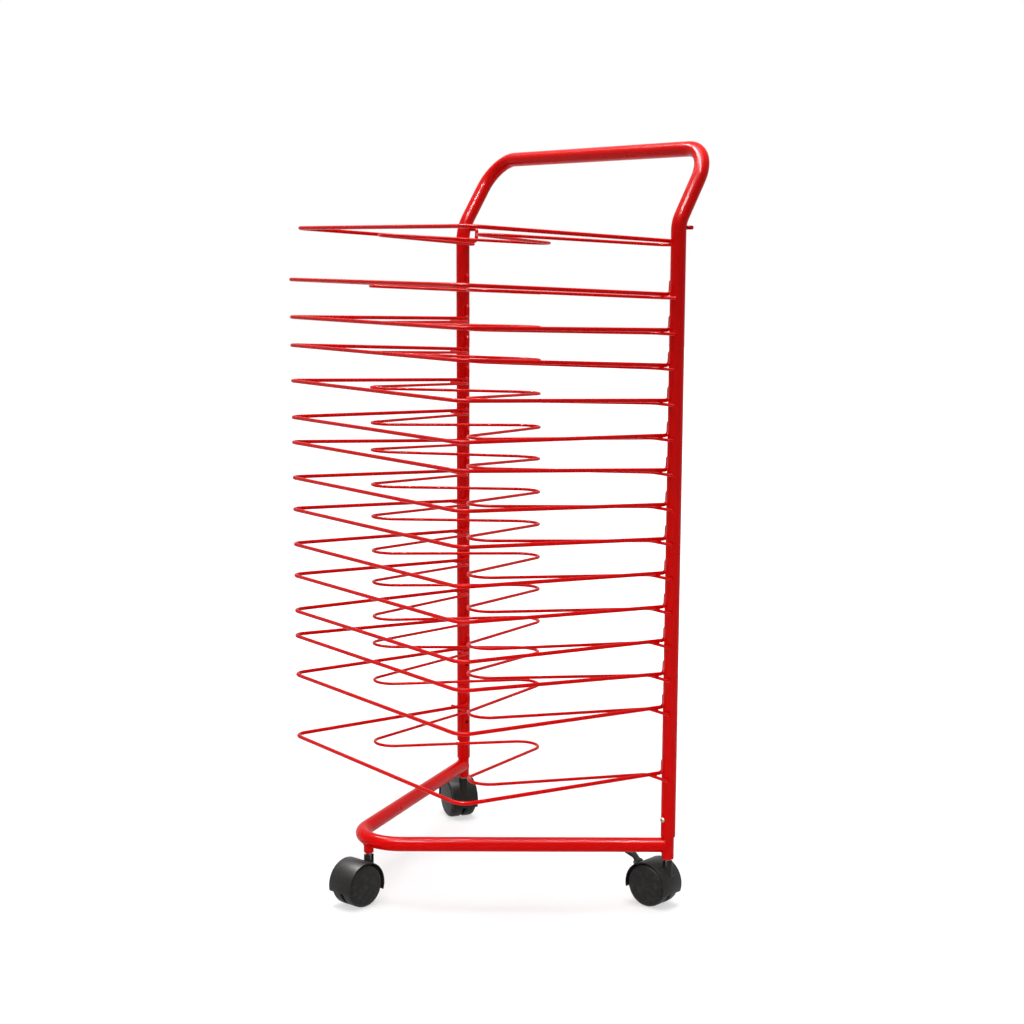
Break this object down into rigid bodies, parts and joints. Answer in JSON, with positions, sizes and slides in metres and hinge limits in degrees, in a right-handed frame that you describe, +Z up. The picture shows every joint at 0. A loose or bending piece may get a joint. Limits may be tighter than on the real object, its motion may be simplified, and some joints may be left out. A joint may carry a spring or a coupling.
{
  "type": "art drying rack",
  "caption": "Mobile drying rack for paper: a bent red tube frame with a leaning push handle, hinged wire shelves and a V base on twin-wheel castors, one with a foot brake.",
  "frame": {"origin": "on the floor, midway between the two posts and in their plane", "axes": "+Z up; +X toward the braked castor's post; the shelves reach forward along -Y and the handle leans back along +Y"},
  "size_m": [0.5495, 0.4304, 0.9761],
  "materials": {
    "red_powder_coat": "glossy red powder coat on steel",
    "zinc_screw": "bright zinc plating",
    "castor_steel": "bright drawn steel",
    "nylon_socket": "plain black moulding",
    "wheel_nylon": "dark grey moulded nylon, satin",
    "hood_nylon": "black moulded nylon, satin"
  },
  "bodies": {
    "frame": {"upper_frame": "red_powder_coat", "base_tube": "red_powder_coat", "apex_boss": "red_powder_coat", "spigot_left": "red_powder_coat", "spigot_right": "red_powder_coat", "stem_socket_left": "nylon_socket", "stem_socket_right": "nylon_socket", "frame_screw_left": "zinc_screw", "frame_screw_right": "zinc_screw", "castor_front_stem": "castor_steel", "castor_right_stem": "castor_steel", "castor_left_stem": "castor_steel"},
    "shelf_01": {"shelf_01_outline": "red_powder_coat", "shelf_01_support": "red_powder_coat"},
    "shelf_02": {"shelf_02_outline": "red_powder_coat", "shelf_02_support": "red_powder_coat"},
    "shelf_03": {"shelf_03_outline": "red_powder_coat", "shelf_03_support": "red_powder_coat"},
    "shelf_04": {"shelf_04_outline": "red_powder_coat", "shelf_04_support": "red_powder_coat"},
    "shelf_05": {"shelf_05_outline": "red_powder_coat", "shelf_05_support": "red_powder_coat"},
    "shelf_06": {"shelf_06_outline": "red_powder_coat", "shelf_06_support": "red_powder_coat"},
    "shelf_07": {"shelf_07_outline": "red_powder_coat", "shelf_07_support": "red_powder_coat"},
    "shelf_08": {"shelf_08_outline": "red_powder_coat", "shelf_08_support": "red_powder_coat"},
    "shelf_09": {"shelf_09_outline": "red_powder_coat", "shelf_09_support": "red_powder_coat"},
    "shelf_10": {"shelf_10_outline": "red_powder_coat", "shelf_10_support": "red_powder_coat"},
    "shelf_11": {"shelf_11_outline": "red_powder_coat", "shelf_11_support": "red_powder_coat"},
    "shelf_12": {"shelf_12_outline": "red_powder_coat", "shelf_12_support": "red_powder_coat"},
    "shelf_13": {"shelf_13_outline": "red_powder_coat", "shelf_13_support": "red_powder_coat"},
    "shelf_14": {"shelf_14_outline": "red_powder_coat", "shelf_14_support": "red_powder_coat"},
    "shelf_15": {"shelf_15_outline": "red_powder_coat", "shelf_15_support": "red_powder_coat"},
    "castor_front_swivel": {"castor_front_hood": "hood_nylon", "castor_front_axle": "castor_steel"},
    "castor_front_wheel_a": {"castor_front_wheel_a": "wheel_nylon"},
    "castor_front_wheel_b": {"castor_front_wheel_b": "wheel_nylon"},
    "castor_right_swivel": {"castor_right_hood": "hood_nylon", "castor_right_axle": "castor_steel", "castor_right_lever_pin": "castor_steel"},
    "castor_right_wheel_a": {"castor_right_wheel_a": "wheel_nylon"},
    "castor_right_wheel_b": {"castor_right_wheel_b": "wheel_nylon"},
    "brake_lever": {"castor_right_brake_lever": "hood_nylon"},
    "castor_left_swivel": {"castor_left_hood": "hood_nylon", "castor_left_axle": "castor_steel"},
    "castor_left_wheel_a": {"castor_left_wheel_a": "wheel_nylon"},
    "castor_left_wheel_b": {"castor_left_wheel_b": "wheel_nylon"}
  },
  "joints": [
    {"name": "shelf_01_hinge", "type": "hinge", "parent": "frame", "child": "shelf_01", "pos_m": [0, 0, 0.8487], "axis": [-1, 0, 0], "range_deg": [0, 71.7]},
    {"name": "shelf_02_hinge", "type": "hinge", "parent": "frame", "child": "shelf_02", "pos_m": [0, 0, 0.8056], "axis": [-1, 0, 0], "range_deg": [0, 72.3]},
    {"name": "shelf_03_hinge", "type": "hinge", "parent": "frame", "child": "shelf_03", "pos_m": [0, 0, 0.762], "axis": [-1, 0, 0], "range_deg": [0, 73.4]},
    {"name": "shelf_04_hinge", "type": "hinge", "parent": "frame", "child": "shelf_04", "pos_m": [0, 0, 0.7184], "axis": [-1, 0, 0], "range_deg": [0, 72.2]},
    {"name": "shelf_05_hinge", "type": "hinge", "parent": "frame", "child": "shelf_05", "pos_m": [0, 0, 0.6748], "axis": [-1, 0, 0], "range_deg": [0, 72.9]},
    {"name": "shelf_06_hinge", "type": "hinge", "parent": "frame", "child": "shelf_06", "pos_m": [0, 0, 0.6312], "axis": [-1, 0, 0], "range_deg": [0, 73.9]},
    {"name": "shelf_07_hinge", "type": "hinge", "parent": "frame", "child": "shelf_07", "pos_m": [0, 0, 0.5876], "axis": [-1, 0, 0], "range_deg": [0, 72]},
    {"name": "shelf_08_hinge", "type": "hinge", "parent": "frame", "child": "shelf_08", "pos_m": [0, 0, 0.544], "axis": [-1, 0, 0], "range_deg": [0, 72.8]},
    {"name": "shelf_09_hinge", "type": "hinge", "parent": "frame", "child": "shelf_09", "pos_m": [0, 0, 0.5004], "axis": [-1, 0, 0], "range_deg": [0, 72.7]},
    {"name": "shelf_10_hinge", "type": "hinge", "parent": "frame", "child": "shelf_10", "pos_m": [0, 0, 0.4568], "axis": [-1, 0, 0], "range_deg": [0, 73.5]},
    {"name": "shelf_11_hinge", "type": "hinge", "parent": "frame", "child": "shelf_11", "pos_m": [0, 0, 0.4132], "axis": [-1, 0, 0], "range_deg": [0, 73.4]},
    {"name": "shelf_12_hinge", "type": "hinge", "parent": "frame", "child": "shelf_12", "pos_m": [0, 0, 0.3696], "axis": [-1, 0, 0], "range_deg": [0, 74.4]},
    {"name": "shelf_13_hinge", "type": "hinge", "parent": "frame", "child": "shelf_13", "pos_m": [0, 0, 0.326], "axis": [-1, 0, 0], "range_deg": [0, 72.7]},
    {"name": "shelf_14_hinge", "type": "hinge", "parent": "frame", "child": "shelf_14", "pos_m": [0, 0, 0.2824], "axis": [-1, 0, 0], "range_deg": [0, 74.8]},
    {"name": "shelf_15_hinge", "type": "hinge", "parent": "frame", "child": "shelf_15", "pos_m": [0, 0, 0.1952], "axis": [-1, 0, 0], "range_deg": [0, 74.7]},
    {"name": "castor_front_swivel", "type": "hinge", "parent": "frame", "child": "castor_front_swivel", "pos_m": [0, -0.30689, 0.0658], "axis": [0, 0, 1], "continuous": true},
    {"name": "castor_front_wheel_a_spin", "type": "hinge", "parent": "castor_front_swivel", "child": "castor_front_wheel_a", "pos_m": [0.00495, -0.32832, 0.029], "axis": [0.9744, 0.225, 0], "continuous": true},
    {"name": "castor_front_wheel_b_spin", "type": "hinge", "parent": "castor_front_swivel", "child": "castor_front_wheel_b", "pos_m": [0.00495, -0.32832, 0.029], "axis": [0.9744, 0.225, 0], "continuous": true},
    {"name": "castor_right_swivel", "type": "hinge", "parent": "frame", "child": "castor_right_swivel", "pos_m": [0.24, 0, 0.0658], "axis": [0, 0, 1], "continuous": true},
    {"name": "castor_right_wheel_a_spin", "type": "hinge", "parent": "castor_right_swivel", "child": "castor_right_wheel_a", "pos_m": [0.2187, -0.00551, 0.029], "axis": [0.2504, -0.9681, 0], "continuous": true},
    {"name": "castor_right_wheel_b_spin", "type": "hinge", "parent": "castor_right_swivel", "child": "castor_right_wheel_b", "pos_m": [0.2187, -0.00551, 0.029], "axis": [0.2504, -0.9681, 0], "continuous": true},
    {"name": "brake_lever", "type": "hinge", "parent": "castor_right_swivel", "child": "brake_lever", "pos_m": [0.19395, -0.01191, 0.05202], "axis": [0.2504, -0.9681, 0], "range_deg": [0, 12]},
    {"name": "castor_left_swivel", "type": "hinge", "parent": "frame", "child": "castor_left_swivel", "pos_m": [-0.24, 0, 0.0658], "axis": [0, 0, 1], "continuous": true},
    {"name": "castor_left_wheel_a_spin", "type": "hinge", "parent": "castor_left_swivel", "child": "castor_left_wheel_a", "pos_m": [-0.26152, 0.00457, 0.029], "axis": [-0.2079, -0.9781, 0], "continuous": true},
    {"name": "castor_left_wheel_b_spin", "type": "hinge", "parent": "castor_left_swivel", "child": "castor_left_wheel_b", "pos_m": [-0.26152, 0.00457, 0.029], "axis": [-0.2079, -0.9781, 0], "continuous": true}
  ],
  "couplings": [
    {"joint": "shelf_02_hinge", "follows": "shelf_01_hinge", "ratio": 1.0084},
    {"joint": "shelf_03_hinge", "follows": "shelf_01_hinge", "ratio": 1.0237},
    {"joint": "shelf_04_hinge", "follows": "shelf_01_hinge", "ratio": 1.007},
    {"joint": "shelf_05_hinge", "follows": "shelf_01_hinge", "ratio": 1.0167},
    {"joint": "shelf_06_hinge", "follows": "shelf_01_hinge", "ratio": 1.0307},
    {"joint": "shelf_07_hinge", "follows": "shelf_01_hinge", "ratio": 1.0042},
    {"joint": "shelf_08_hinge", "follows": "shelf_01_hinge", "ratio": 1.0153},
    {"joint": "shelf_09_hinge", "follows": "shelf_01_hinge", "ratio": 1.0139},
    {"joint": "shelf_10_hinge", "follows": "shelf_01_hinge", "ratio": 1.0251},
    {"joint": "shelf_11_hinge", "follows": "shelf_01_hinge", "ratio": 1.0237},
    {"joint": "shelf_12_hinge", "follows": "shelf_01_hinge", "ratio": 1.0376},
    {"joint": "shelf_13_hinge", "follows": "shelf_01_hinge", "ratio": 1.0139},
    {"joint": "shelf_14_hinge", "follows": "shelf_01_hinge", "ratio": 1.0432},
    {"joint": "shelf_15_hinge", "follows": "shelf_01_hinge", "ratio": 1.0418}
  ]
}
